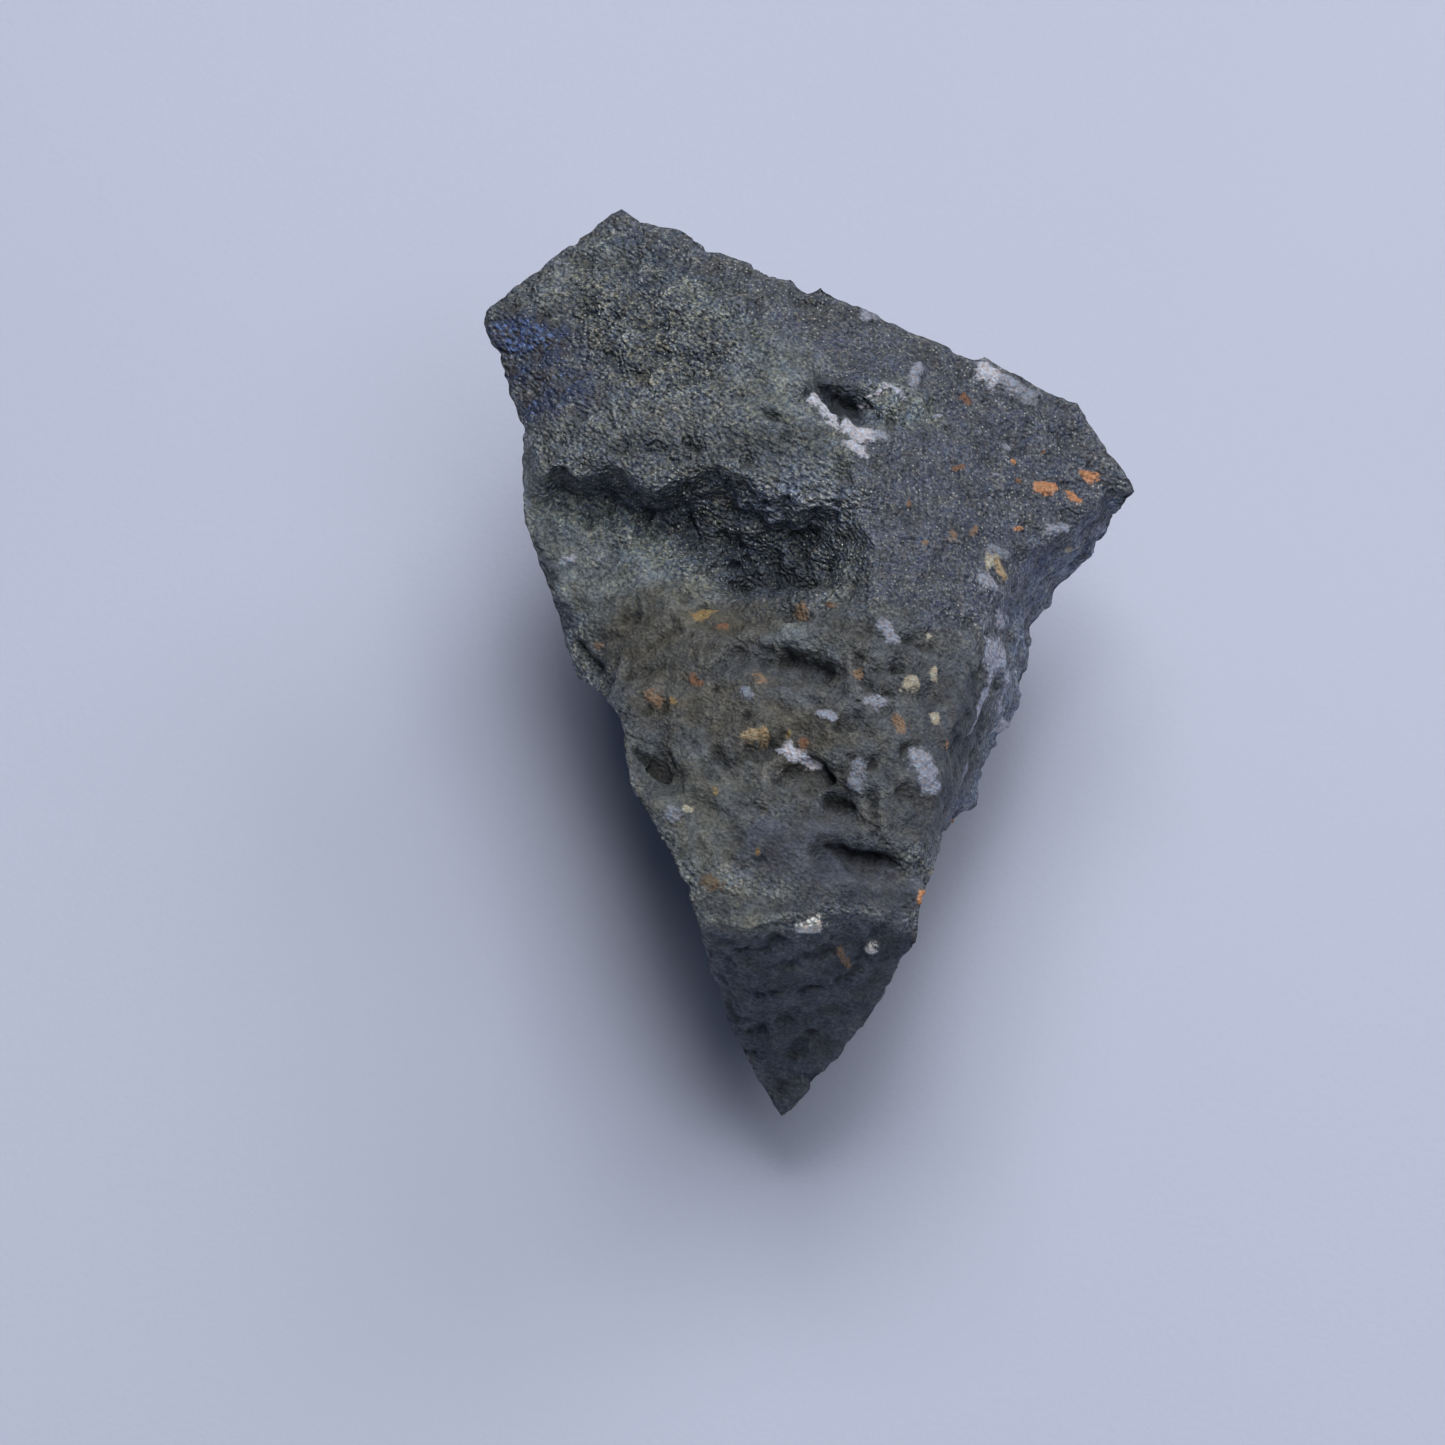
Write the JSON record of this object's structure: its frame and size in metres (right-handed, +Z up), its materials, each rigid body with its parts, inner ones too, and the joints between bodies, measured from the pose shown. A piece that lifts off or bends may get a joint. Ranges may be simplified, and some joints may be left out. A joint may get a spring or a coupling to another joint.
{
  "type": "arsenopyrite specimen",
  "caption": "Broken wedge-shaped piece of fine-grained dark grey metallic ore with quartz and rust specks, resting on a small flat spot.",
  "frame": {"origin": "centre of the bounding box in X and Y, at the resting spot in Z", "axes": "+Z up from the resting spot; +Y along the length, from the pointed near end to the wide far end; +X to the right when seen from the pointed end"},
  "size_m": [0.0272, 0.0366, 0.0183],
  "materials": {
    "ore": "dark bluish grey, fine-grained with a broken metallic glitter, and specks of white quartz and orange rust"
  },
  "bodies": {
    "root": {"specimen": "ore"}
  },
  "joints": []
}
